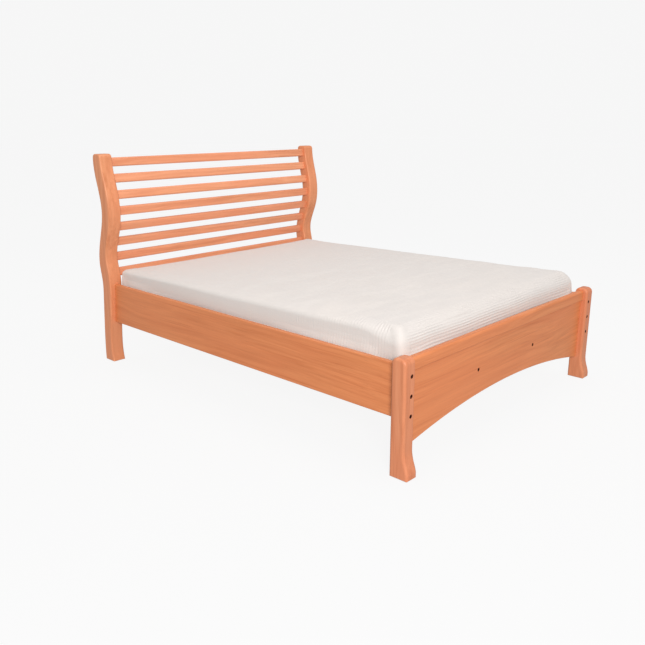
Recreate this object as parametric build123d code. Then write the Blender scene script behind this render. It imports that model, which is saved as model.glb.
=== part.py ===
from build123d import *
import math
import os

# Slatted sleigh-style bed with its mattress, modelled in millimetres.
# +Z is up, +Y points from the foot of the bed to the head, and +X to the right
# for somebody who stands at the foot and looks at the headboard.
# The origin is on the floor, under the middle of the whole bed.

os.makedirs("parts", exist_ok=True)

# ---------------------------------------------------------------- overall
BED_WIDTH = 1662.0
BED_LENGTH = 2234.0
BED_HEIGHT = 1194.0
FOOT_Y = -BED_LENGTH / 2
POST_OUTER_X = BED_WIDTH / 2

# ---------------------------------------------------------------- foot posts
FOOT_POST_WIDTH = 67.0
FOOT_POST_HEIGHT = 501.0
FOOT_POST_FRONT = FOOT_Y + 22.0
FOOT_POST_BACK = FOOT_POST_FRONT + 70.0
FOOT_POST_INNER_X = POST_OUTER_X - FOOT_POST_WIDTH
FOOT_POST_CROWN = 26.0
FOOT_FLARE_START = 122.0
FOOT_FLARE_MIDDLE = (FOOT_Y + 11.0, 62.0)
FOOT_FLARE_END = 24.0

# ---------------------------------------------------------------- head posts
HEAD_POST_WIDTH = 78.0
HEAD_POST_INNER_X = POST_OUTER_X - HEAD_POST_WIDTH
HEAD_POST_CROWN = 20.0
# (height, depth position) along the front and back edges of the wave
HEAD_POST_FRONT_EDGE = [
    (0, 1028), (45, 1037), (120, 1038), (280, 1020), (465, 1000), (535, 1006),
    (612, 1020), (715, 995), (805, 960), (895, 949), (975, 957), (1080, 983), (1194, 996),
]
HEAD_POST_BACK_EDGE = [
    (0, 1117), (90, 1115), (240, 1102), (385, 1087), (480, 1083), (575, 1098),
    (660, 1089), (740, 1064), (810, 1040), (893, 1027), (975, 1038), (1060, 1060), (1194, 1069),
]

# ---------------------------------------------------------------- edge rounding
HEAD_POST_EDGE = 9.0
FOOT_POST_EDGE = 12.0
RAIL_EDGE = 4.0
SLAT_EDGE = 8.0
POST_BASE_CHAMFER = 4.0

# ---------------------------------------------------------------- headboard slats
HEAD_SLAT_COUNT = 8
HEAD_SLAT_TALL = 49.0
HEAD_SLAT_THICK = 24.0
HEAD_SLAT_TOP_Z = 1148.0
HEAD_SLAT_PITCH = 88.7
HEAD_SLAT_HOUSING = 12.0
HEAD_SLAT_LEAN_REACH = 20.0
HEAD_RAIL_Z = (246.0, 416.0)
HEAD_RAIL_Y = (1040.0, 1065.0)
HEAD_RAIL_HOUSING = 18.0

# ---------------------------------------------------------------- footboard
PANEL_THICK = 25.0
PANEL_FRONT = FOOT_POST_FRONT + 32.0
PANEL_BACK = PANEL_FRONT + PANEL_THICK
PANEL_TOP_Z = 436.0
PANEL_HOUSING = 14.0
PANEL_TRIM = 30.0
ARCH_CROWN_Z = 198.0
ARCH_RADIUS = 3640.0
ARCH_CHAMFER = 2.5
CAP_TOP_Z = 487.0
CAP_FRONT = PANEL_FRONT - 10.0
CAP_BACK = PANEL_BACK + 4.0
CAP_EDGE = 13.0
CAP_LOWER_EDGE = 3.0

# ---------------------------------------------------------------- side rails
RAIL_OUTER_X = 801.0
RAIL_THICK = 25.0
RAIL_INNER_X = RAIL_OUTER_X - RAIL_THICK
RAIL_CENTRE_X = RAIL_OUTER_X - RAIL_THICK / 2
RAIL_Z = (240.0, 466.0)
RAIL_HEAD_END = 1026.0
RAIL_HOUSED_FROM = 900.0

# ---------------------------------------------------------------- slat support
SUPPORT_Z = 336.0
CLEAT_WIDE = 25.0
CLEAT_TALL = 30.0
CLEAT_Y = (-1020.0, 1000.0)
CLEAT_SCREWS = 7
CLEAT_SCREW_INSET = 60.0
CLEAT_SCREW_DROP = 19.0
BEAM_X = 248.0
BEAM_WIDE = 40.0
BEAM_TALL = 60.0
LEG_SIDE = 45.0
LEG_BOTTOM_Z = 14.0
GLIDE_PAD_R = 16.0
GLIDE_PAD_THICK = 10.0
GLIDE_COLLAR_R = 8.0
GLIDE_STEM_LENGTH = 50.0
BED_SLAT_COUNT = 13
BED_SLAT_WIDE = 70.0
BED_SLAT_THICK = 20.0
BED_SLAT_HALF_LENGTH = RAIL_INNER_X - 2.0
BED_SLAT_END_Y = 960.0
BED_SLAT_EDGE = 3.0

# ---------------------------------------------------------------- fasteners
BOLT_Z = (262.0, 345.0, 427.0)
BEAM_BOLT_Z = 306.0
BOLT_SHANK_R = 4.0
BOLT_HOLE_R = 4.25
BOLT_HOLE_REACH = 12.0
BOLT_HEAD_R = 8.3
BOLT_HEAD_THICK = 3.5
COUNTERBORE_R = 8.8
COUNTERBORE_DEPTH = 4.0
COUNTERBORE_REACH = 30.0
HEX_SOCKET = 5.0
HEX_SOCKET_DEPTH = 3.0
FOOT_BOLT_LENGTH = 118.0
HEAD_BOLT_LENGTH = 106.0
HEAD_BOLT_SEAT_Y = 1078.0
BEAM_BOLT_LENGTH = 75.0
BEAM_BOLT_HOLE = 60.0
NUT_R = 6.0
NUT_LENGTH = 20.0
NUT_SETBACK = 45.0
DOWEL_R = 4.0
DOWEL_LENGTH = 40.0
DOWEL_Z = (303.0, 386.0)
SCREW_SHANK_R = 2.0
SCREW_HEAD_R = 4.2
SCREW_HEAD_THICK = 2.6
CLEAT_SCREW_LENGTH = 42.0
SLAT_SCREW_LENGTH = 36.0
SCREW_TIP = 4.0
SCREW_TIP_R = 0.4
STUD_LENGTH = 80.0

# ---------------------------------------------------------------- mattress
MATTRESS_WIDTH = 1540.0
MATTRESS_Y = (CAP_BACK + 2.5, 995.0)
MATTRESS_BOTTOM_Z = SUPPORT_Z + BED_SLAT_THICK + 0.4
MATTRESS_FOOT_TOP_Z = 586.0
MATTRESS_HEAD_TOP_Z = 545.0
MATTRESS_FOOT_CORNER = 50.0
MATTRESS_HEAD_CORNER = 26.0
MATTRESS_TOP_EDGE = 24.0
MATTRESS_BOTTOM_EDGE = 16.0
COVER_THICK = 6.0
COVER_GAP = 0.4
FOAM_SPLIT_Z = 500.0

SIDES = {"left": -1, "right": 1}


# ---------------------------------------------------------------- helpers
def block(x, y, z):
    """Box from (low, high) pairs along each axis."""
    size = [high - low for low, high in (x, y, z)]
    middle = [(high + low) / 2 for low, high in (x, y, z)]
    return Pos(*middle) * Box(*size)


def mirrored_pair(side, inner, outer):
    """(low, high) in X for something between inner and outer on one side."""
    return tuple(sorted((side * inner, side * outer)))


def rod(start, direction, length, radius):
    """Cylinder from start along direction."""
    plane = Plane(origin=start, z_dir=direction)
    return plane * Cylinder(radius, length, align=(Align.CENTER, Align.CENTER, Align.MIN))


def long_edges(solid, axis, radius):
    """Round the edges of a bar that run along an axis."""
    return fillet(solid.edges().filter_by(axis), radius)


def edge_y(edge, z):
    """Depth position of a head post edge at a height, between its listed points."""
    for (z0, y0), (z1, y1) in zip(edge, edge[1:]):
        if z0 <= z <= z1:
            return y0 + (y1 - y0) * (z - z0) / (z1 - z0)
    raise ValueError("height outside the post")


def post_centre_y(z):
    """Depth position of the head post's centre line at a height."""
    return (edge_y(HEAD_POST_FRONT_EDGE, z) + edge_y(HEAD_POST_BACK_EDGE, z)) / 2


# ---------------------------------------------------------------- fasteners
def bolt(seat, direction, length):
    """Flat-headed joint connector bolt; seat is the face that its head bears on."""
    plane = Plane(origin=seat, z_dir=direction)
    shank = Cylinder(BOLT_SHANK_R, length, align=(Align.CENTER, Align.CENTER, Align.MIN))
    head = Cylinder(BOLT_HEAD_R, BOLT_HEAD_THICK, align=(Align.CENTER, Align.CENTER, Align.MAX))
    head = chamfer(head.edges().sort_by(Axis.Z)[0], 1.0)
    hexagon = RegularPolygon(HEX_SOCKET / 2, 6, major_radius=False)
    socket = extrude(Plane.XY.offset(-BOLT_HEAD_THICK) * hexagon, HEX_SOCKET_DEPTH)
    return plane * (shank + head - socket)


def bolt_hole(seat, direction, length):
    """Counterbore and clearance hole for a bolt."""
    back = Vector(*direction) * -COUNTERBORE_REACH
    mouth = rod(tuple(Vector(*seat) + back), direction, COUNTERBORE_REACH, COUNTERBORE_R)
    return mouth + rod(seat, direction, length, BOLT_HOLE_R)


def barrel_nut(centre, cross_axis, bolt_axis):
    """Cross dowel nut with a round hole for the bolt."""
    plane = Plane(origin=centre, z_dir=cross_axis)
    bore = Plane(origin=centre, z_dir=bolt_axis) * Cylinder(BOLT_SHANK_R, 4 * NUT_R)
    return plane * Cylinder(NUT_R, NUT_LENGTH) - bore


def screw(top, direction, length):
    """Countersunk wood screw; top is the middle of its flat head."""
    plane = Plane(origin=top, z_dir=direction)
    base = (Align.CENTER, Align.CENTER, Align.MIN)
    head = Cone(SCREW_HEAD_R, SCREW_SHANK_R, SCREW_HEAD_THICK, align=base)
    shank = Cylinder(SCREW_SHANK_R, length - SCREW_TIP, align=base)
    tip = Pos(0, 0, length - SCREW_TIP) * Cone(SCREW_SHANK_R, SCREW_TIP_R, SCREW_TIP, align=base)
    return plane * (head + shank + tip)


# fastener positions ----------------------------------------------------------
def foot_bolt_seats():
    y = FOOT_POST_FRONT + COUNTERBORE_DEPTH
    return [(side * RAIL_CENTRE_X, y, z) for side in SIDES.values() for z in BOLT_Z]


def head_bolt_seats():
    y = HEAD_BOLT_SEAT_Y
    return [(side * RAIL_CENTRE_X, y, z) for side in SIDES.values() for z in BOLT_Z]


def beam_bolt_seats():
    foot = [(side * BEAM_X, PANEL_FRONT + COUNTERBORE_DEPTH, BEAM_BOLT_Z) for side in SIDES.values()]
    head = [(side * BEAM_X, HEAD_RAIL_Y[1] - COUNTERBORE_DEPTH, BEAM_BOLT_Z) for side in SIDES.values()]
    return foot, head


def rail_nut_centres():
    ends = (FOOT_POST_BACK + NUT_SETBACK, RAIL_HEAD_END - NUT_SETBACK)
    return [(side * RAIL_CENTRE_X, y, z) for side in SIDES.values() for y in ends for z in BOLT_Z]


def beam_nut_centres():
    ends = (PANEL_BACK + NUT_SETBACK, HEAD_RAIL_Y[0] - NUT_SETBACK)
    return [(side * BEAM_X, y, BEAM_BOLT_Z) for side in SIDES.values() for y in ends]


def dowel_starts():
    ends = (FOOT_POST_BACK - DOWEL_LENGTH / 2, RAIL_HEAD_END - DOWEL_LENGTH / 2)
    return [(side * RAIL_CENTRE_X, y, z) for side in SIDES.values() for y in ends for z in DOWEL_Z]


def cleat_screw_tops(side):
    step = (CLEAT_Y[1] - CLEAT_Y[0] - 2 * CLEAT_SCREW_INSET) / (CLEAT_SCREWS - 1)
    x = side * (RAIL_INNER_X - CLEAT_WIDE)
    z = SUPPORT_Z - CLEAT_SCREW_DROP
    return [(x, CLEAT_Y[0] + CLEAT_SCREW_INSET + step * i, z) for i in range(CLEAT_SCREWS)]


def bed_slat_y(index):
    return -BED_SLAT_END_Y + 2 * BED_SLAT_END_Y * index / (BED_SLAT_COUNT - 1)


def slat_screw_tops():
    x = RAIL_INNER_X - CLEAT_WIDE / 2
    z = SUPPORT_Z + BED_SLAT_THICK
    return [(side * x, bed_slat_y(i), z) for i in range(BED_SLAT_COUNT) for side in SIDES.values()]


# ---------------------------------------------------------------- head end
def head_slat(index):
    """One straight slat, square to the wave of the posts at its own height."""
    z = HEAD_SLAT_TOP_Z - HEAD_SLAT_PITCH * index
    rise = HEAD_SLAT_LEAN_REACH
    lean = math.atan2(post_centre_y(z + rise) - post_centre_y(z - rise), 2 * rise)
    length = 2 * (HEAD_POST_INNER_X + HEAD_SLAT_HOUSING)
    bar = long_edges(Box(length, HEAD_SLAT_THICK, HEAD_SLAT_TALL), Axis.X, SLAT_EDGE)
    return Pos(0, post_centre_y(z), z) * Rot(-math.degrees(lean), 0, 0) * bar


def head_rail():
    half = HEAD_POST_INNER_X + HEAD_RAIL_HOUSING
    bar = long_edges(block((-half, half), HEAD_RAIL_Y, HEAD_RAIL_Z), Axis.X, RAIL_EDGE)
    for seat in beam_bolt_seats()[1]:
        bar -= bolt_hole(seat, (0, -1, 0), BEAM_BOLT_HOLE)
    return bar


def wave_blank():
    """Head post outline seen from the side, extruded from the inner to the outer face."""
    front = [(y, z) for z, y in HEAD_POST_FRONT_EDGE]
    back = [(y, z) for z, y in HEAD_POST_BACK_EDGE]
    with BuildPart() as blank:
        with BuildSketch(Plane.YZ):
            with BuildLine():
                Spline(*front)
                Line(front[-1], back[-1])
                Spline(*back[::-1])
                Line(back[0], front[0])
            make_face()
            fillet(vertices().group_by(Axis.Y)[-1], HEAD_POST_CROWN)
        extrude(amount=HEAD_POST_WIDTH)
        floor_edges = edges().group_by(Axis.Z)[0]
        chamfer(floor_edges, POST_BASE_CHAMFER)
        outline = [e for e in edges() if is_side_outline(e, HEAD_POST_WIDTH)]
        fillet(outline, HEAD_POST_EDGE)
    return blank.part


def is_side_outline(edge, width):
    """True for an edge that lies in one of a post's two flat side faces, off the floor."""
    box = edge.bounding_box()
    flat = box.size.X < 0.01 and (abs(box.min.X) < 0.01 or abs(box.max.X - width) < 0.01)
    return flat and box.max.Z > POST_BASE_CHAMFER + 1


def head_post(side, slats, rail, side_rail):
    post = wave_blank()
    if side > 0:
        post = Pos(HEAD_POST_INNER_X, 0, 0) * post
    else:
        post = Pos(-POST_OUTER_X, 0, 0) * post
    for housed in slats + [rail, side_rail]:
        post -= housed
    for seat in head_bolt_seats():
        if seat[0] * side > 0:
            post -= bolt_hole(seat, (0, -1, 0), FOOT_BOLT_LENGTH)
    return post - dowels()


# ---------------------------------------------------------------- foot end
def foot_panel():
    """Board with an arched lower edge, housed in the foot posts."""
    half = FOOT_POST_INNER_X + PANEL_HOUSING
    blank_half = half + PANEL_TRIM
    arch_end = ARCH_CROWN_Z - ARCH_RADIUS + math.sqrt(ARCH_RADIUS ** 2 - blank_half ** 2)
    with BuildPart() as board:
        with BuildSketch(Plane.XZ.offset(-PANEL_BACK)):
            with BuildLine():
                arch = ThreePointArc((-blank_half, arch_end), (0, ARCH_CROWN_Z), (blank_half, arch_end))
                Polyline(arch @ 1, (blank_half, PANEL_TOP_Z), (-blank_half, PANEL_TOP_Z), arch @ 0)
            make_face()
        extrude(amount=PANEL_THICK)
        chamfer(edges().filter_by(GeomType.CIRCLE), ARCH_CHAMFER)
    panel = board.part & block((-half, half), (PANEL_FRONT, PANEL_BACK), (0, PANEL_TOP_Z))
    for seat in beam_bolt_seats()[0]:
        panel -= bolt_hole(seat, (0, 1, 0), BEAM_BOLT_HOLE)
    return panel


def foot_cap():
    """Rounded rail along the top of the footboard, a little proud of the board."""
    half = FOOT_POST_INNER_X + PANEL_HOUSING
    bar = block((-half, half), (CAP_FRONT, CAP_BACK), (PANEL_TOP_Z, CAP_TOP_Z))
    along = bar.edges().filter_by(Axis.X).group_by(Axis.Z)
    bar = fillet(along[-1], CAP_EDGE)
    return fillet(bar.edges().filter_by(Axis.X).group_by(Axis.Z)[0], CAP_LOWER_EDGE)


def foot_post_blank():
    """Square post with a crowned top and a foot that flares forwards."""
    front, back, top = FOOT_POST_FRONT, FOOT_POST_BACK, FOOT_POST_HEIGHT
    with BuildPart() as blank:
        with BuildSketch(Plane.YZ):
            with BuildLine():
                Polyline((FOOT_Y, 0), (back, 0), (back, top), (front, top), (front, FOOT_FLARE_START))
                Spline(
                    (front, FOOT_FLARE_START), FOOT_FLARE_MIDDLE, (FOOT_Y, FOOT_FLARE_END),
                    tangents=[(0, -1), (-0.15, -1)],
                )
                Line((FOOT_Y, FOOT_FLARE_END), (FOOT_Y, 0))
            make_face()
            fillet(vertices().group_by(Axis.Y)[-1], FOOT_POST_CROWN)
        extrude(amount=FOOT_POST_WIDTH)
        chamfer(edges().group_by(Axis.Z)[0], POST_BASE_CHAMFER)
        outline = [e for e in edges() if is_side_outline(e, FOOT_POST_WIDTH)]
        fillet(outline, FOOT_POST_EDGE)
    return blank.part


def foot_post(side, panel, cap):
    post = foot_post_blank()
    if side > 0:
        post = Pos(FOOT_POST_INNER_X, 0, 0) * post
    else:
        post = Pos(-POST_OUTER_X, 0, 0) * post
    post = post - panel - cap
    for seat in foot_bolt_seats():
        if seat[0] * side > 0:
            post -= bolt_hole(seat, (0, 1, 0), FOOT_BOLT_LENGTH)
    return post - dowels()


# ---------------------------------------------------------------- sides
def side_rail(side):
    x = mirrored_pair(side, RAIL_INNER_X, RAIL_OUTER_X)
    bar = long_edges(block(x, (FOOT_POST_BACK, RAIL_HEAD_END), RAIL_Z), Axis.Y, RAIL_EDGE)
    nut_bore = NUT_LENGTH / 2 + RAIL_THICK / 2
    for centre in rail_nut_centres():
        if centre[0] * side > 0:
            mouth = (side * RAIL_INNER_X, centre[1], centre[2])
            bar -= rod(mouth, (side, 0, 0), nut_bore, NUT_R)
    for z in BOLT_Z:
        for end, way in ((FOOT_POST_BACK, 1), (RAIL_HEAD_END, -1)):
            mouth = (side * RAIL_CENTRE_X, end, z)
            bar -= rod(mouth, (0, way, 0), NUT_SETBACK + BOLT_HOLE_REACH, BOLT_HOLE_R)
    for top in cleat_screw_tops(side):
        bar -= screw(top, (side, 0, 0), CLEAT_SCREW_LENGTH)
    return bar - dowels()


def cleat(side):
    """Strip along the inside of a side rail that carries the slat ends."""
    x = mirrored_pair(side, RAIL_INNER_X - CLEAT_WIDE, RAIL_INNER_X)
    bar = block(x, CLEAT_Y, (SUPPORT_Z - CLEAT_TALL, SUPPORT_Z))
    for top in cleat_screw_tops(side):
        bar -= screw(top, (side, 0, 0), CLEAT_SCREW_LENGTH)
    for top in slat_screw_tops():
        if top[0] * side > 0:
            bar -= screw(top, (0, 0, -1), SLAT_SCREW_LENGTH)
    return bar


# ---------------------------------------------------------------- middle support
def beam(side):
    x = (side * BEAM_X - BEAM_WIDE / 2, side * BEAM_X + BEAM_WIDE / 2)
    bar = block(x, (PANEL_BACK, HEAD_RAIL_Y[0]), (SUPPORT_Z - BEAM_TALL, SUPPORT_Z))
    inner_face = side * (BEAM_X - BEAM_WIDE / 2)
    for centre in beam_nut_centres():
        if centre[0] * side > 0:
            mouth = (inner_face, centre[1], centre[2])
            bar -= rod(mouth, (side, 0, 0), BEAM_WIDE / 2 + NUT_LENGTH / 2, NUT_R)
    for end, way in ((PANEL_BACK, 1), (HEAD_RAIL_Y[0], -1)):
        mouth = (side * BEAM_X, end, BEAM_BOLT_Z)
        bar -= rod(mouth, (0, way, 0), NUT_SETBACK + BOLT_HOLE_REACH, BOLT_HOLE_R)
    return bar - leg_stud(side)


def beam_leg(side):
    half = LEG_SIDE / 2
    x = side * BEAM_X
    top = SUPPORT_Z - BEAM_TALL
    bar = block((x - half, x + half), (-half, half), (LEG_BOTTOM_Z, top))
    bar = long_edges(bar, Axis.Z, RAIL_EDGE)
    return bar - leg_stud(side) - leg_glide(side)


def leg_stud(side):
    """Hanger stud that joins a leg to its beam."""
    start = (side * BEAM_X, 0, SUPPORT_Z - BEAM_TALL - STUD_LENGTH / 2)
    return rod(start, (0, 0, 1), STUD_LENGTH, BOLT_SHANK_R)


def leg_glide(side):
    """Levelling foot: round pad, collar and threaded stem."""
    up = (0, 0, 1)
    pad = chamfer(rod((0, 0, 0), up, GLIDE_PAD_THICK, GLIDE_PAD_R).edges(), 1.5)
    collar = rod((0, 0, GLIDE_PAD_THICK), up, LEG_BOTTOM_Z - GLIDE_PAD_THICK, GLIDE_COLLAR_R)
    stem = rod((0, 0, GLIDE_PAD_THICK), up, GLIDE_STEM_LENGTH, BOLT_SHANK_R)
    return Pos(side * BEAM_X, 0, 0) * (pad + collar + stem)


def bed_slat(index):
    y = bed_slat_y(index)
    half = BED_SLAT_HALF_LENGTH
    z = (SUPPORT_Z, SUPPORT_Z + BED_SLAT_THICK)
    bar = block((-half, half), (y - BED_SLAT_WIDE / 2, y + BED_SLAT_WIDE / 2), z)
    bar = fillet(bar.edges().filter_by(Axis.X).group_by(Axis.Z)[-1], BED_SLAT_EDGE)
    for top in slat_screw_tops():
        if abs(top[1] - y) < 1:
            bar -= screw(top, (0, 0, -1), SLAT_SCREW_LENGTH)
    return bar


def dowels():
    return Compound([rod(start, (0, 1, 0), DOWEL_LENGTH, DOWEL_R) for start in dowel_starts()])


# ---------------------------------------------------------------- mattress
def mattress_form(inset):
    """Mattress shape, thicker towards the foot, drawn in by inset on every face."""
    y0, y1 = MATTRESS_Y[0] + inset, MATTRESS_Y[1] - inset
    z0 = MATTRESS_BOTTOM_Z + inset
    z_foot, z_head = MATTRESS_FOOT_TOP_Z - inset, MATTRESS_HEAD_TOP_Z - inset
    half = MATTRESS_WIDTH / 2 - inset
    with BuildPart() as form:
        with BuildSketch(Plane.YZ.offset(-half)):
            Polygon((y0, z0), (y1, z0), (y1, z_head), (y0, z_foot), align=None)
        extrude(amount=2 * half)
        fillet(edges().filter_by(Axis.Z).group_by(Axis.Y)[0], MATTRESS_FOOT_CORNER - inset)
        fillet(edges().filter_by(Axis.Z).group_by(Axis.Y)[-1], MATTRESS_HEAD_CORNER - inset)
        lower = [e for e in edges() if e.bounding_box().max.Z < z0 + 1]
        fillet(lower, MATTRESS_BOTTOM_EDGE - inset)
        upper = [e for e in edges() if e.bounding_box().min.Z > z_head - 1]
        fillet(upper, MATTRESS_TOP_EDGE - inset)
    return form.part


def mattress():
    """Outer cover, and the two foam layers inside it."""
    cover = mattress_form(0) - mattress_form(COVER_THICK)
    core = mattress_form(COVER_THICK + COVER_GAP)
    reach = 3000
    upper = Pos(0, 0, FOAM_SPLIT_Z + reach / 2) * Box(reach, reach, reach)
    return cover, core - upper, core & upper


# ---------------------------------------------------------------- build
def save(node, shape):
    solids = shape.solids()
    whole = solids[0] if len(solids) == 1 else Compound(solids)
    export_step(whole, os.path.join("parts", node + ".step"))


def main():
    slats = [head_slat(i) for i in range(HEAD_SLAT_COUNT)]
    for i, slat in enumerate(slats):
        save(f"head_slat_{i + 1}", slat)
    back_rail = head_rail()
    save("head_rail", back_rail)
    panel = foot_panel()
    save("foot_panel", panel)
    cap = foot_cap()
    save("foot_cap_rail", cap)
    for name, side in SIDES.items():
        rail = side_rail(side)
        save("side_rail_" + name, rail)
        rail_x = mirrored_pair(side, RAIL_INNER_X, RAIL_OUTER_X)
        housed = block(rail_x, (RAIL_HOUSED_FROM, RAIL_HEAD_END), RAIL_Z)
        housed = long_edges(housed, Axis.Y, RAIL_EDGE)
        save("head_post_" + name, head_post(side, slats, back_rail, housed))
        save("foot_post_" + name, foot_post(side, panel, cap))
        save("cleat_" + name, cleat(side))
        save("beam_" + name, beam(side))
        save("beam_leg_" + name, beam_leg(side))
        save("leg_glide_" + name, leg_glide(side))
    for i in range(BED_SLAT_COUNT):
        save(f"bed_slat_{i + 1:02d}", bed_slat(i))
    foot_seats, head_seats = beam_bolt_seats()
    foot_bolts = [bolt(seat, (0, 1, 0), FOOT_BOLT_LENGTH) for seat in foot_bolt_seats()]
    head_bolts = [bolt(seat, (0, -1, 0), HEAD_BOLT_LENGTH) for seat in head_bolt_seats()]
    beam_bolts = [bolt(seat, (0, 1, 0), BEAM_BOLT_LENGTH) for seat in foot_seats]
    beam_bolts += [bolt(seat, (0, -1, 0), BEAM_BOLT_LENGTH) for seat in head_seats]
    save("foot_bolts", Compound(foot_bolts))
    save("head_bolts", Compound(head_bolts))
    save("beam_bolts", Compound(beam_bolts))
    rail_nuts = [barrel_nut(c, (1, 0, 0), (0, 1, 0)) for c in rail_nut_centres()]
    beam_nuts = [barrel_nut(c, (1, 0, 0), (0, 1, 0)) for c in beam_nut_centres()]
    save("rail_barrel_nuts", Compound(rail_nuts))
    save("beam_barrel_nuts", Compound(beam_nuts))
    cleat_screws = [
        screw(top, (side, 0, 0), CLEAT_SCREW_LENGTH)
        for side in SIDES.values() for top in cleat_screw_tops(side)
    ]
    slat_screws = [screw(top, (0, 0, -1), SLAT_SCREW_LENGTH) for top in slat_screw_tops()]
    save("cleat_screws", Compound(cleat_screws))
    save("slat_screws", Compound(slat_screws))
    save("rail_dowels", dowels())
    save("leg_studs", Compound([leg_stud(side) for side in SIDES.values()]))
    cover, base_foam, comfort_foam = mattress()
    save("mattress_cover", cover)
    save("mattress_base_foam", base_foam)
    save("mattress_comfort_foam", comfort_foam)


main()
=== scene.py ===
import math

import bmesh
import bpy
from mathutils import Matrix, Vector, noise
from mathutils.bvhtree import BVHTree
from mathutils.interpolate import poly_3d_calc


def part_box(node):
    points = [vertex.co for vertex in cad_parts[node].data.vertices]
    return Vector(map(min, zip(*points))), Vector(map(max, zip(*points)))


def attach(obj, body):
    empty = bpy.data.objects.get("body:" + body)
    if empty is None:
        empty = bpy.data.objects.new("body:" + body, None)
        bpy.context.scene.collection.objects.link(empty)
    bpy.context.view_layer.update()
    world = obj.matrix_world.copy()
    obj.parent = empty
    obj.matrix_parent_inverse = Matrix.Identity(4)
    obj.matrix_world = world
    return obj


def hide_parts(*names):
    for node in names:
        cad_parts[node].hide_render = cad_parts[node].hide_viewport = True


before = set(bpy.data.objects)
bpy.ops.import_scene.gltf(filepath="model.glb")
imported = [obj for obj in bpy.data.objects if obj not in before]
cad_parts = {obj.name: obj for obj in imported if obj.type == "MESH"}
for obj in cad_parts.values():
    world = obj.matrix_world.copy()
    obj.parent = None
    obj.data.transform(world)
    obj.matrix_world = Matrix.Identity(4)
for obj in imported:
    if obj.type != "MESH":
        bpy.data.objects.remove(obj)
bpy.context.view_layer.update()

# ---------------------------------------------------------------- view
LENS_MM = 39.9
SENSOR_MM = 36.0
CAMERA_AT = (-2.8864, -2.6115, 1.3729)
CAMERA_YAW = math.radians(46.57)
CAMERA_PITCH = math.radians(15.88)
CAMERA_ROLL = math.radians(-0.20)

# ---------------------------------------------------------------- colours, linear
CHERRY = (0.76, 0.258, 0.094)
CHERRY_LIGHT = (0.80, 0.312, 0.144)
CHERRY_MID = (0.72, 0.262, 0.122)
CHERRY_PALE = (0.86, 0.350, 0.178)
POPLAR = (0.74, 0.58, 0.38)
BEECH = (0.66, 0.46, 0.29)
CLOTH = (0.755, 0.702, 0.665)
BRONZE = (0.040, 0.006, 0.002)
ZINC = (0.60, 0.60, 0.58)
BLACK_PLASTIC = (0.025, 0.025, 0.027)
BACKDROP = 0.925
SKY = 0.50
FLOOR_SHADE = 0.06
STAGE_REACH = 40.0


# ---------------------------------------------------------------- node helpers
class Shader:
    """A new material's node tree, with short calls to fill it."""

    def __init__(self, name):
        self.material = bpy.data.materials.new(name)
        self.material.use_nodes = True
        self.tree = self.material.node_tree
        self.bsdf = self.tree.nodes["Principled BSDF"]

    def node(self, kind, **settings):
        made = self.tree.nodes.new(kind)
        for key, value in settings.items():
            setattr(made, key, value)
        return made

    def link(self, source, target):
        self.tree.links.new(source, target)

    def feed(self, socket, value):
        """Connects a socket, or sets its number."""
        if isinstance(value, bpy.types.NodeSocket):
            self.link(value, socket)
        else:
            socket.default_value = value

    def math(self, operation, a, b=0.0, clamp=False):
        made = self.node("ShaderNodeMath", operation=operation, use_clamp=clamp)
        self.feed(made.inputs[0], a)
        self.feed(made.inputs[1], b)
        return made.outputs[0]

    def vector(self, operation, a, b=(0.0, 0.0, 0.0)):
        made = self.node("ShaderNodeVectorMath", operation=operation)
        self.feed(made.inputs[0], a)
        self.feed(made.inputs[1], b)
        return made.outputs["Value" if operation == "LENGTH" else "Vector"]

    def noise(self, vector, scale=1.0, detail=3.0, roughness=0.5, output="Fac"):
        made = self.node("ShaderNodeTexNoise")
        self.link(vector, made.inputs["Vector"])
        made.inputs["Scale"].default_value = scale
        made.inputs["Detail"].default_value = detail
        made.inputs["Roughness"].default_value = roughness
        return made.outputs[output]

    def span(self, value, low, high, to_low=0.0, to_high=1.0):
        """Maps low..high onto to_low..to_high, and clamps."""
        made = self.node("ShaderNodeMapRange")
        for socket, number in zip(made.inputs, (value, low, high, to_low, to_high)):
            self.feed(socket, number)
        return made.outputs[0]

    def mix(self, factor, first, second, blend="MIX"):
        made = self.node("ShaderNodeMix", data_type="RGBA", blend_type=blend)
        self.feed(made.inputs["Factor"], factor)
        colours = [s for s in made.inputs if s.type == "RGBA"]
        for socket, value in zip(colours, (first, second)):
            if isinstance(value, bpy.types.NodeSocket):
                self.link(value, socket)
            else:
                socket.default_value = (*value, 1.0)
        return [s for s in made.outputs if s.type == "RGBA"][0]

    def bump(self, height, strength, distance, below=None):
        made = self.node("ShaderNodeBump")
        made.inputs["Strength"].default_value = strength
        made.inputs["Distance"].default_value = distance
        self.link(height, made.inputs["Height"])
        if below is not None:
            self.link(below, made.inputs["Normal"])
        return made.outputs["Normal"]

    def place(self, along, shift=(0.0, 0.0, 0.0)):
        """Object position in metres, turned so that its Z runs along the given axis."""
        order = {"X": ("Y", "Z", "X"), "Y": ("Z", "X", "Y"), "Z": ("X", "Y", "Z")}[along]
        split = self.node("ShaderNodeSeparateXYZ")
        self.link(self.node("ShaderNodeTexCoord").outputs["Object"], split.inputs[0])
        join = self.node("ShaderNodeCombineXYZ")
        for axis, socket in zip(order, join.inputs):
            self.link(split.outputs[axis], socket)
        return self.vector("ADD", join.outputs[0], shift)


def shade(colour, factor):
    return tuple(channel * factor for channel in colour)


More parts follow.
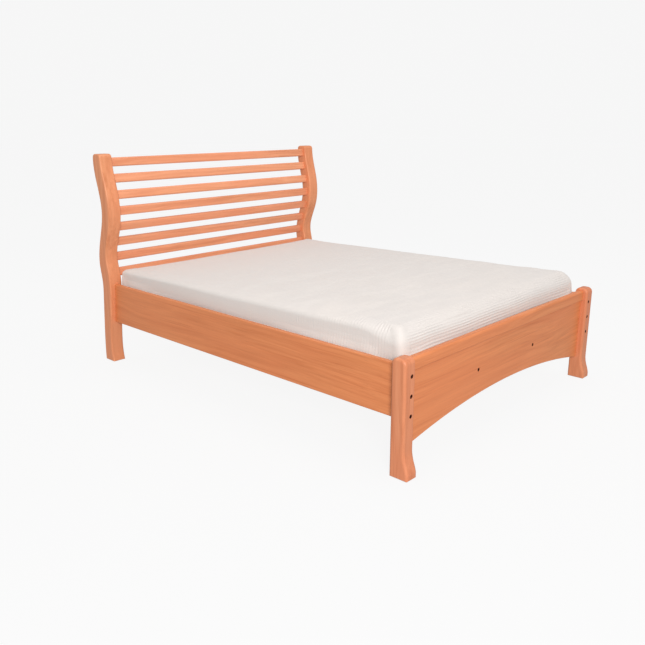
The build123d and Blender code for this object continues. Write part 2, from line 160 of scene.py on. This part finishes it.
def wood(name, colour, along, seed, pith, ring=0.011, contrast=1.0, rough=0.42, flecks=1.0):
    """Sawn and oiled timber: rings round a pith line beside the board, fibres, pores and flecks.

    along is the grain's axis. pith is where the tree's middle lies across the grain, in metres.
    """
    s = Shader(name)
    shift = (pith[0], pith[1], 3.7 * seed)
    at = s.place(along, shift)
    slow = s.vector("MULTIPLY", at, (2.5, 2.5, 1.5))
    wander = s.vector("SUBTRACT", s.noise(slow, 1.0, 1.0, output="Color"), (0.5, 0.5, 0.5))
    wander = s.vector("MULTIPLY", wander, (0.09, 0.09, 0.0))
    ripple_at = s.vector("MULTIPLY", at, (14.0, 14.0, 2.2))
    ripple = s.vector("SUBTRACT", s.noise(ripple_at, 1.0, 3.0, output="Color"), (0.5, 0.5, 0.5))
    ripple = s.vector("MULTIPLY", ripple, (0.016, 0.016, 0.0))
    flat = s.vector("MULTIPLY", at, (1.0, 1.0, 0.0))
    across = s.vector("ADD", s.vector("ADD", flat, wander), ripple)
    radius = s.vector("LENGTH", across)
    phase = s.math("FRACT", s.math("DIVIDE", radius, ring))
    late = s.math("MULTIPLY", s.span(phase, 0.30, 0.88), s.span(phase, 0.88, 1.0, 1.0, 0.0))
    band_at = s.vector("MULTIPLY", across, (40.0, 40.0, 0.0))
    band = s.span(s.noise(band_at, 1.0, 2.0), 0.25, 0.75)
    thread_at = s.vector("MULTIPLY", s.vector("ADD", at, ripple), (120.0, 120.0, 1.4))
    thread = s.span(s.noise(thread_at, 1.0, 2.0, 0.5), 0.52, 0.72)
    fibre_at = s.vector("MULTIPLY", at, (620.0, 620.0, 9.0))
    fibre = s.noise(fibre_at, 1.0, 3.0, 0.6)
    fleck_at = s.vector("MULTIPLY", at, (330.0, 330.0, 26.0))
    fleck = s.span(s.noise(fleck_at, 1.0, 2.0), 0.66, 0.74)
    patch_at = s.vector("MULTIPLY", at, (4.0, 4.0, 1.6))
    patch = s.span(s.noise(patch_at, 1.0, 2.0), 0.3, 0.7)
    streak_at = s.vector("MULTIPLY", s.vector("ADD", at, wander), (34.0, 34.0, 1.1))
    streak = s.span(s.noise(streak_at, 1.0, 4.0, 0.62), 0.40, 0.66)
    ring_dark = (colour[0] * 0.70, colour[1] * 0.56, colour[2] * 0.46)
    tone = s.mix(s.math("MULTIPLY", late, 0.28 * contrast), shade(colour, 1.04), ring_dark)
    tone = s.mix(s.math("MULTIPLY", streak, 0.75 * contrast, True), tone, ring_dark)
    tone = s.mix(s.math("MULTIPLY", thread, 0.85 * contrast, True), tone, ring_dark)
    light = (min(colour[0] * 1.12, 0.95), min(colour[1] * 1.26, 0.9), min(colour[2] * 1.38, 0.85))
    tone = s.mix(s.math("MULTIPLY", band, 0.60 * contrast), tone, light)
    rosy = (colour[0] * 1.02, colour[1] * 0.90, colour[2] * 0.92)
    tone = s.mix(s.math("MULTIPLY", patch, 0.55 * contrast), tone, rosy)
    grey = s.span(fibre, 0.25, 0.75, 1.0 - 0.07 * contrast, 1.0 + 0.05 * contrast)
    fine = s.node("ShaderNodeCombineXYZ")
    for socket in fine.inputs:
        s.link(grey, socket)
    tone = s.mix(1.0, tone, fine.outputs[0], "MULTIPLY")
    tone = s.mix(s.math("MULTIPLY", fleck, 0.30 * flecks), tone, shade(colour, 0.55))
    s.link(tone, s.bsdf.inputs["Base Color"])
    s.link(s.span(fibre, 0.2, 0.8, rough - 0.05, rough + 0.07), s.bsdf.inputs["Roughness"])
    grain = s.bump(fibre, 0.10, 0.0004)
    s.link(s.bump(late, 0.08, 0.0003, grain), s.bsdf.inputs["Normal"])
    s.bsdf.inputs["Specular IOR Level"].default_value = 0.35
    s.bsdf.inputs["Coat Weight"].default_value = 0.05
    s.bsdf.inputs["Coat Roughness"].default_value = 0.30
    return s.material


def metal(name, colour, rough, worn, shine, gloss=0.5):
    """Plated or blackened steel with a fine mottled finish and rubbed spots."""
    s = Shader(name)
    at = s.place("Z")
    mottle = s.noise(at, 900.0, 3.0, 0.6)
    rubbed = s.span(s.noise(at, 260.0, 2.0), 0.60, 0.72)
    tone = s.mix(s.span(mottle, 0.3, 0.7), shade(colour, 0.8), shade(colour, 1.2))
    tone = s.mix(s.math("MULTIPLY", rubbed, 0.35), tone, worn)
    s.link(tone, s.bsdf.inputs["Base Color"])
    s.link(s.span(mottle, 0.2, 0.8, rough - 0.06, rough + 0.08), s.bsdf.inputs["Roughness"])
    s.bsdf.inputs["Metallic"].default_value = shine
    s.bsdf.inputs["Specular IOR Level"].default_value = gloss
    s.link(s.bump(mottle, 0.15, 0.0002), s.bsdf.inputs["Normal"])
    return s.material


def moulded_plastic(name, colour):
    s = Shader(name)
    at = s.place("Z")
    grain = s.noise(at, 1400.0, 2.0)
    tone = s.mix(s.span(s.noise(at, 60.0, 2.0), 0.35, 0.65), colour, shade(colour, 1.6))
    s.link(tone, s.bsdf.inputs["Base Color"])
    s.link(s.span(grain, 0.3, 0.7, 0.48, 0.62), s.bsdf.inputs["Roughness"])
    s.link(s.bump(grain, 0.2, 0.0002), s.bsdf.inputs["Normal"])
    return s.material


def ribbed_cloth(name, colour):
    """Soft woven cotton: a plain weave, slubs in the yarn and small folds."""
    s = Shader(name)
    at = s.place("Z")
    weave = s.node("ShaderNodeTexWave", wave_type="BANDS", bands_direction="X", wave_profile="SIN")
    weft = s.node("ShaderNodeTexWave", wave_type="BANDS", bands_direction="Y", wave_profile="SIN")
    for thread in (weave, weft):
        s.link(at, thread.inputs["Vector"])
        thread.inputs["Scale"].default_value = 170.0
        thread.inputs["Distortion"].default_value = 1.2
        thread.inputs["Detail"].default_value = 1.0
        thread.inputs["Detail Scale"].default_value = 2.0
    threads = s.math("ADD", weave.outputs["Fac"], weft.outputs["Fac"])
    slub = s.noise(s.vector("MULTIPLY", at, (40.0, 400.0, 90.0)), 1.0, 3.0, 0.6)
    crinkle = s.noise(s.vector("MULTIPLY", at, (75.0, 190.0, 190.0)), 1.0, 2.0, 0.5)
    patch = s.span(s.noise(at, 3.0, 3.0), 0.3, 0.7)
    tone = s.mix(s.math("MULTIPLY", s.span(slub, 0.3, 0.75), 0.6), colour, shade(colour, 0.93))
    warm = (colour[0], colour[1] * 0.985, colour[2] * 0.97)
    tone = s.mix(s.math("MULTIPLY", patch, 0.5), tone, warm)
    s.link(tone, s.bsdf.inputs["Base Color"])
    s.bsdf.inputs["Roughness"].default_value = 0.92
    s.bsdf.inputs["Specular IOR Level"].default_value = 0.25
    s.bsdf.inputs["Sheen Weight"].default_value = 0.25
    s.bsdf.inputs["Sheen Roughness"].default_value = 0.5
    fine = s.bump(threads, 0.25, 0.0006)
    folds = s.bump(crinkle, 0.35, 0.0025, fine)
    s.link(s.bump(slub, 0.30, 0.0012, folds), s.bsdf.inputs["Normal"])
    return s.material


# ---------------------------------------------------------------- CAD nodes
def paint(node, material):
    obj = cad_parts[node]
    obj.data.materials.clear()
    obj.data.materials.append(material)


def is_left(node):
    low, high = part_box(node)
    return low.x + high.x < 0


def paint_posts():
    for seed, node in enumerate(("head_post_left", "head_post_right")):
        pith = (0.95 - 0.1 * seed, 0.02)
        paint(node, wood(node + "_wood", CHERRY_LIGHT, "Z", seed + 1, pith, 0.010, 1.3))
    for seed, node in enumerate(("foot_post_left", "foot_post_right")):
        pith = (0.90 if is_left(node) else -0.70, 1.10)
        paint(node, wood(node + "_wood", CHERRY_MID, "Z", seed + 5, pith, 0.009, 1.5))


def paint_long_boards():
    paint("side_rail_left", wood("side_rail_left_wood", CHERRY, "Y", 11, (-0.42, 0.90), 0.016))
    paint("side_rail_right", wood("side_rail_right_wood", CHERRY, "Y", 12, (-0.30, -0.88), 0.016))
    paint("foot_panel", wood("foot_panel_wood", CHERRY, "X", 13, (1.13, -0.27), 0.018))
    paint("foot_cap_rail", wood("foot_cap_wood", CHERRY, "X", 14, (1.00, -0.40), 0.012))
    paint("head_rail", wood("head_rail_wood", CHERRY, "X", 15, (-0.98, -0.30), 0.014))


def paint_head_slats():
    slats = sorted(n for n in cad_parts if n.startswith("head_slat_"))
    for seed, node in enumerate(slats):
        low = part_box(node)[0]
        pith = (0.03 - low.y, 0.05 * math.sin(2.1 * seed) - low.z)
        paint(node, wood(node + "_wood", CHERRY_PALE, "X", 20 + seed, pith, 0.009, 1.5))


def paint_support():
    for seed, node in enumerate(sorted(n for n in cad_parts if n.startswith("bed_slat_"))):
        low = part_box(node)[0]
        pith = (0.02 * math.sin(1.7 * seed) - low.y, -0.43)
        paint(node, wood(node + "_wood", POPLAR, "X", 40 + seed, pith, 0.008, 0.9, 0.6, 0.6))
    for seed, node in enumerate(("cleat_left", "cleat_right", "beam_left", "beam_right")):
        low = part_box(node)[0]
        pith = (0.05 - low.z, -low.x)
        paint(node, wood(node + "_wood", POPLAR, "Y", 60 + seed, pith, 0.008, 0.9, 0.6, 0.6))
    for seed, node in enumerate(("beam_leg_left", "beam_leg_right")):
        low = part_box(node)[0]
        pith = (0.04 - low.x, 0.05)
        paint(node, wood(node + "_wood", POPLAR, "Z", 70 + seed, pith, 0.007, 0.9, 0.6, 0.6))
    paint("rail_dowels", wood("rail_dowels_wood", BEECH, "Y", 80, (0.3, 0.8), 0.004, 0.7, 0.6, 1.5))


def paint_hardware():
    bronze = metal("dark_bronze_finish", BRONZE, 0.62, (0.09, 0.018, 0.007), 0.1, 0.1)
    for node in ("foot_bolts", "head_bolts", "beam_bolts"):
        paint(node, bronze)
    zinc = metal("zinc_finish", ZINC, 0.38, (0.75, 0.75, 0.72), 0.9)
    for node in ("rail_barrel_nuts", "beam_barrel_nuts", "cleat_screws", "slat_screws",
                 "leg_studs"):
        paint(node, zinc)
    plastic = moulded_plastic("glide_finish", BLACK_PLASTIC)
    for node in ("leg_glide_left", "leg_glide_right"):
        paint(node, plastic)


# ---------------------------------------------------------------- mattress cover
RIBS_ALONG = 134
RIBS_DOWN = 15
ROWS_PER_RIB = 4
RIB_HEIGHT = 0.0021
FOOT_CORNER = 0.085
HEAD_CORNER = 0.018
CORNER_POWER = 5.0
FOOT_EDGE = 0.066
SIDE_EDGE = 0.027
HEAD_EDGE = 0.016
BOTTOM_EDGE = 0.014
SHRINK = 0.004

# cloth step: how hard and how long it swells, and how far a point may move
PRESSURE = 4.0
CLOTH_MASS = 0.4
CLOTH_STIFFNESS = 25.0
CLOTH_BENDING = 6.0
SIM_FRAMES = 20
SWELL_LIMIT = 0.010

# clearance from the neighbours: at the bottom, and how much more there is room for higher up
SIDE_ROOM, SIDE_BULGE = 0.003, 0.009
FOOT_ROOM, FOOT_BULGE = 0.0015, 0.007
HEAD_ROOM = 0.002
BULGE_RISE = 0.03


def eased(value, low, high):
    """Smooth step from 0 at low to 1 at high."""
    share = min(max((value - low) / (high - low), 0.0), 1.0)
    return share * share * (3 - 2 * share)


def corner_at(y):
    """Size of the plan corners, by distance along the bed from its middle."""
    return FOOT_CORNER + (HEAD_CORNER - FOOT_CORNER) * eased(y, -0.5, 0.5)


def top_edge_at(y):
    side = SIDE_EDGE + (HEAD_EDGE - SIDE_EDGE) * eased(y, 0.0, 0.6)
    return FOOT_EDGE + (side - FOOT_EDGE) * eased(y, -0.98, -0.78)


def stations(half, zone_cells, middle_cells):
    """Positions from -half to half, closer together in the two corner zones."""
    flat = half - FOOT_CORNER
    zone = [flat + FOOT_CORNER * i / zone_cells for i in range(1, zone_cells + 1)]
    middle = [flat * (2 * i / middle_cells - 1) for i in range(middle_cells + 1)]
    return [-p for p in reversed(zone)] + middle + zone


def even_stations(half, cells):
    return [half * (2 * i / cells - 1) for i in range(cells + 1)]


class Shell:
    """A closed quad skin over a soft rounded block whose top slopes along Y.

    xs and ys are the grid's positions across and along, from the middle, and rows is the number of
    grid rows in its height.
    """

    def __init__(self, xs, ys, rows, low, high, foot_top, head_top):
        self.xs, self.ys, self.rows = xs, ys, rows
        self.half = (xs[-1], ys[-1])
        self.middle = ((high.x + low.x) / 2, (high.y + low.y) / 2)
        self.bottom = low.z
        self.foot_top, self.head_top = foot_top, head_top
        self.keys, self.index, self.faces = [], {}, []
        nx, ny, nz = len(xs) - 1, len(ys) - 1, rows
        self.counts = (nx, ny, nz)
        self.grid(nx, ny, lambda a, b: (a, b, nz))
        self.grid(ny, nx, lambda a, b: (b, a, 0))
        self.grid(nx, nz, lambda a, b: (a, 0, b))
        self.grid(nz, nx, lambda a, b: (b, ny, a))
        self.grid(nz, ny, lambda a, b: (0, b, a))
        self.grid(ny, nz, lambda a, b: (nx, a, b))
        self.points = [self.place(key) for key in self.keys]

    def grid(self, rows, columns, key_of):
        for a in range(rows):
            for b in range(columns):
                face = []
                for key in (key_of(a, b), key_of(a + 1, b), key_of(a + 1, b + 1), key_of(a, b + 1)):
                    if key not in self.index:
                        self.index[key] = len(self.keys)
                        self.keys.append(key)
                    face.append(self.index[key])
                self.faces.append(face)

    def corner_share(self, key):
        """How far a grid point is into the corner zone across and along, each from -1 to 1."""
        shares = []
        radius = corner_at(self.ys[key[1]])
        for value, half in zip((self.xs[key[0]], self.ys[key[1]]), self.half):
            share = max(abs(value) - (half - radius), 0.0) / radius
            shares.append(math.copysign(min(share, 1.0), value))
        return shares

    def top_at(self, y):
        share = (y + self.half[1]) / (2 * self.half[1])
        return self.foot_top + (self.head_top - self.foot_top) * share

    def place(self, key):
        x, y = self.xs[key[0]], self.ys[key[1]]
        u, v = self.corner_share(key)
        disc = (u * math.sqrt(1 - v * v / 2), v * math.sqrt(1 - u * u / 2))
        reach = math.hypot(*disc)
        top = self.top_at(y)
        rows = self.rows
        corner, top_edge = corner_at(y), top_edge_at(y)
        if key[2] in (0, rows):
            edge = top_edge if key[2] else BOTTOM_EDGE
            gap = (1 - reach) * corner
            turn = math.radians(45) * max(1 - gap / edge, 0.0)
            inset = edge * (1 - math.sin(turn)) if gap < edge else gap
            drop = edge * (1 - math.cos(turn))
            z = top - drop if key[2] else self.bottom + drop
        else:
            depth = (top - self.bottom) * (1 - key[2] / rows)
            height = top - self.bottom - depth
            inset, z = 0.0, top - depth
            if depth < top_edge:
                turn = math.radians(45) * (1 + depth / top_edge)
                inset = top_edge * (1 - math.sin(turn))
                z = top - top_edge * (1 - math.cos(turn))
            elif height < BOTTOM_EDGE:
                turn = math.radians(45) * (1 + height / BOTTOM_EDGE)
                inset = BOTTOM_EDGE * (1 - math.sin(turn))
                z = self.bottom + BOTTOM_EDGE * (1 - math.cos(turn))
        across = (max(min(x, self.half[0] - corner), corner - self.half[0]),
                  max(min(y, self.half[1] - corner), corner - self.half[1]))
        power_sum = sum(abs(part) ** CORNER_POWER for part in disc)
        out = (corner - inset) / power_sum ** (1 / CORNER_POWER) if reach > 1e-9 else 0.0
        return Vector((self.middle[0] + across[0] + out * disc[0],
                       self.middle[1] + across[1] + out * disc[1], z))

    def mesh(self, name, points):
        made = bpy.data.meshes.new(name)
        made.from_pydata(points, [], self.faces)
        edit = bmesh.new()
        edit.from_mesh(made)
        bmesh.ops.recalc_face_normals(edit, faces=edit.faces)
        edit.to_mesh(made)
        edit.free()
        made.update()
        return made


def swollen(shell):
    """How far cloth under light inner pressure moves each point of the shell, capped."""
    mesh = shell.mesh("mattress_cage", shell.points)
    cage = bpy.data.objects.new("mattress_cage", mesh)
    scene = bpy.context.scene
    scene.collection.objects.link(cage)
    still = cage.vertex_groups.new(name="still")
    still.add([i for i, key in enumerate(shell.keys) if key[2] == 0], 1.0, "REPLACE")
    cloth = cage.modifiers.new("cloth", "CLOTH")
    cloth.settings.vertex_group_mass = "still"
    cloth.settings.use_pressure = True
    cloth.settings.uniform_pressure_force = PRESSURE
    cloth.settings.mass = CLOTH_MASS
    cloth.settings.quality = 6
    cloth.settings.tension_stiffness = CLOTH_STIFFNESS
    cloth.settings.compression_stiffness = CLOTH_STIFFNESS
    cloth.settings.bending_stiffness = CLOTH_BENDING
    cloth.settings.effector_weights.gravity = 0.0
    cloth.point_cache.frame_start = 1
    cloth.point_cache.frame_end = SIM_FRAMES
    for step in range(1, SIM_FRAMES + 1):
        scene.frame_set(step)
    settled = cage.evaluated_get(bpy.context.evaluated_depsgraph_get())
    moves = []
    for start, vertex in zip(shell.points, settled.data.vertices):
        move = vertex.co - start
        if move.length > SWELL_LIMIT:
            move *= SWELL_LIMIT / move.length
        moves.append(move)
    scene.frame_set(1)
    bpy.data.objects.remove(cage)
    bpy.data.meshes.remove(mesh)
    return moves


def carried(points, shell, moves):
    """The shell's moves at other points on its surface."""
    tree = BVHTree.FromPolygons(shell.points, shell.faces)
    result = []
    for point in points:
        near, _, face, _ = tree.find_nearest(point)
        corners = shell.faces[face]
        weights = poly_3d_calc([shell.points[i] for i in corners], near)
        move = Vector()
        for corner, weight in zip(corners, weights):
            move += moves[corner] * weight
        result.append(move)
    return result


def rib_wave(row):
    return 0.5 + 0.5 * math.cos(2 * math.pi * row / ROWS_PER_RIB)


def ribbed(shell, points, normals):
    """Raises the knitted ribs that run across the bed and down its foot and head faces."""
    nx, ny, nz = shell.counts
    result = []
    for key, start, point, normal in zip(shell.keys, shell.points, points, normals):
        u, v = shell.corner_share(key)
        if key[2] == 0:
            result.append(point)
            continue
        row = key[1]
        if key[1] == 0:
            row = key[2] - nz
        elif key[1] == ny:
            row = ny + nz - key[2]
        bent = abs(u * v) * (1.3 + 6.0 * (1 - abs(v)))
        strength = max(1 - bent, 0.0) * min(1.0, key[2] / 3)
        if key[1] not in (0, ny):
            strength *= 0.35 + 0.65 * eased(-start.y, -0.6, 0.85)
            if key[2] < nz:
                strength *= 0.35
        uneven = 0.62 + 0.75 * noise.noise(Vector((start.x * 6.0, start.y * 22.0, start.z * 22.0)))
        height = RIB_HEIGHT * strength * max(uneven, 0.1) * (2 * rib_wave(row) - 1)
        soft = noise.noise(Vector((start.x * 2.3, start.y * 2.3, start.z * 5.0 + 4.0)))
        dent = noise.noise(Vector((start.x * 7.0, start.y * 7.0 + 9.0, start.z * 9.0)))
        height += 0.0022 * soft + 0.0009 * dent
        drift = 0.0042 * noise.noise(Vector((start.x * 3.1, start.y * 1.7 + 2.0, start.z * 3.0)))
        drift += 0.0016 * noise.noise(Vector((start.x * 11.0, start.y * 4.0, start.z * 7.0 + 1.0)))
        along = Vector((0.0, 0.0, 1.0)) if key[1] in (0, ny) else Vector((0.0, 1.0, 0.0))
        inside = 1.0 if 0 < key[1] < ny and key[2] == nz or key[1] in (0, ny) else abs(v) < 1
        result.append(point + normal * height + along * drift * strength * inside)
    return result


def kept_clear(point, low, high, rail_top, cap_top):
    """Keeps a cover point off the rails, cap rail and head posts, less tightly above the rails."""
    side = high.x + SIDE_ROOM + SIDE_BULGE * eased(point.z, rail_top, rail_top + BULGE_RISE)
    foot = low.y - FOOT_ROOM - FOOT_BULGE * eased(point.z, cap_top, cap_top + BULGE_RISE)
    along = min(max(point.y, foot), high.y + HEAD_ROOM)
    return Vector((max(min(point.x, side), -side), along, max(point.z, low.z)))


def make_cover():
    low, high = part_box("mattress_cover")
    solid = [vertex.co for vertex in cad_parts["mattress_cover"].data.vertices]
    foot_top = max(p.z for p in solid)
    head_top = max(p.z for p in solid if p.y > high.y - 0.06)
    half = ((high.x - low.x) / 2 - SHRINK, (high.y - low.y) / 2 - SHRINK)
    across = stations(half[0], 12, 56)
    along = even_stations(half[1], RIBS_ALONG * ROWS_PER_RIB)
    tops = (foot_top - SHRINK, head_top - SHRINK)
    fine = Shell(across, along, RIBS_DOWN * ROWS_PER_RIB, low, high, *tops)
    points = fine.points
    cage_grid = (stations(half[0], 4, 34), stations(half[1], 4, 46), 8)
    coarse = Shell(*cage_grid, low, high, *tops)
    moves = carried(points, coarse, swollen(coarse))
    points = [point + move for point, move in zip(points, moves)]
    smooth = fine.mesh("mattress_cover_smooth", points)
    normals = [vertex.normal.copy() for vertex in smooth.vertices]
    bpy.data.meshes.remove(smooth)
    points = ribbed(fine, points, normals)
    rail_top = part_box("side_rail_left")[1].z
    cap_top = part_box("foot_cap_rail")[1].z
    points = [kept_clear(point, low, high, rail_top, cap_top) for point in points]
    mesh = fine.mesh("mattress_cover_cloth", points)
    mesh.polygons.foreach_set("use_smooth", [True] * len(mesh.polygons))
    mesh.materials.append(ribbed_cloth("cover_cloth_finish", CLOTH))
    cover = bpy.data.objects.new("mattress_cover_cloth", mesh)
    bpy.context.scene.collection.objects.link(cover)
    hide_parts("mattress_cover", "mattress_comfort_foam", "mattress_base_foam")
    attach(cover, "mattress")


# ---------------------------------------------------------------- stage
def glowing(name, glow, shade_share):
    """Pale studio paper that is mostly lit from behind, so shadows on it stay faint."""
    s = Shader(name)
    at = s.place("Z")
    tone = s.mix(s.noise(at, 0.7, 2.0), (0.99 * shade_share,) * 3, (shade_share,) * 3)
    s.link(tone, s.bsdf.inputs["Base Color"])
    s.bsdf.inputs["Roughness"].default_value = 1.0
    s.bsdf.inputs["Specular IOR Level"].default_value = 0.0
    s.bsdf.inputs["Emission Color"].default_value = (1.0, 1.0, 1.0, 1.0)
    s.bsdf.inputs["Emission Strength"].default_value = glow
    return s.material


def stage_piece(mesh, material):
    """Something that the camera sees and that doesn't light or shade the bed."""
    mesh.materials.append(material)
    piece = bpy.data.objects.new(mesh.name, mesh)
    bpy.context.scene.collection.objects.link(piece)
    piece.visible_diffuse = False
    piece.visible_glossy = False
    piece.visible_shadow = False


def make_stage():
    floor = bpy.data.meshes.new("studio_floor")
    edit = bmesh.new()
    bmesh.ops.create_circle(edit, cap_ends=True, radius=STAGE_REACH, segments=64)
    edit.to_mesh(floor)
    edit.clear()
    stage_piece(floor, glowing("studio_floor", BACKDROP - SKY * FLOOR_SHADE, FLOOR_SHADE))
    dome = bpy.data.meshes.new("studio_backdrop")
    bmesh.ops.create_uvsphere(edit, u_segments=48, v_segments=24, radius=STAGE_REACH)
    edit.to_mesh(dome)
    edit.free()
    stage_piece(dome, glowing("studio_backdrop", BACKDROP, 0.0))


def aim(at, target):
    """World matrix of a lamp at a place, its -Z towards the target."""
    back = (Vector(at) - Vector(target)).normalized()
    return Matrix.Translation(at) @ back.to_track_quat("Z", "Y").to_matrix().to_4x4()


def lamp(name, at, target, size, watts):
    light = bpy.data.lights.new(name, "AREA")
    light.shape = "SQUARE"
    light.size = size
    light.energy = watts
    obj = bpy.data.objects.new(name, light)
    obj.matrix_world = aim(at, target)
    bpy.context.scene.collection.objects.link(obj)


def make_light():
    world = bpy.data.worlds.new("studio")
    world.use_nodes = True
    sky = world.node_tree.nodes["Background"]
    sky.inputs["Color"].default_value = (SKY, SKY, SKY, 1.0)
    sky.inputs["Strength"].default_value = 1.0
    bpy.context.scene.world = world
    lamp("overhead", (0.3, -0.2, 5.0), (0.0, 0.0, 0.4), 3.5, 70.0)
    lamp("key", (-4.7, -5.2, 3.2), (0.0, 0.0, 0.5), 1.8, 330.0)


def make_camera():
    yaw, pitch, roll = CAMERA_YAW, CAMERA_PITCH, CAMERA_ROLL
    level = math.cos(pitch)
    ahead = Vector((math.sin(yaw) * level, math.cos(yaw) * level, -math.sin(pitch)))
    right = Vector((math.cos(yaw), -math.sin(yaw), 0.0))
    up = right.cross(ahead)
    cos, sin = math.cos(roll), math.sin(roll)
    right, up = right * cos + up * sin, up * cos - right * sin
    lens = bpy.data.cameras.new("camera")
    lens.lens = LENS_MM
    lens.sensor_width = SENSOR_MM
    camera = bpy.data.objects.new("camera", lens)
    turn = Matrix((right, up, -ahead)).transposed().to_4x4()
    camera.matrix_world = Matrix.Translation(CAMERA_AT) @ turn
    bpy.context.scene.collection.objects.link(camera)
    bpy.context.scene.camera = camera


make_camera()
make_stage()
make_light()
paint_posts()
paint_long_boards()
paint_head_slats()
paint_support()
paint_hardware()
make_cover()
bpy.context.scene.view_settings.view_transform = "Standard"
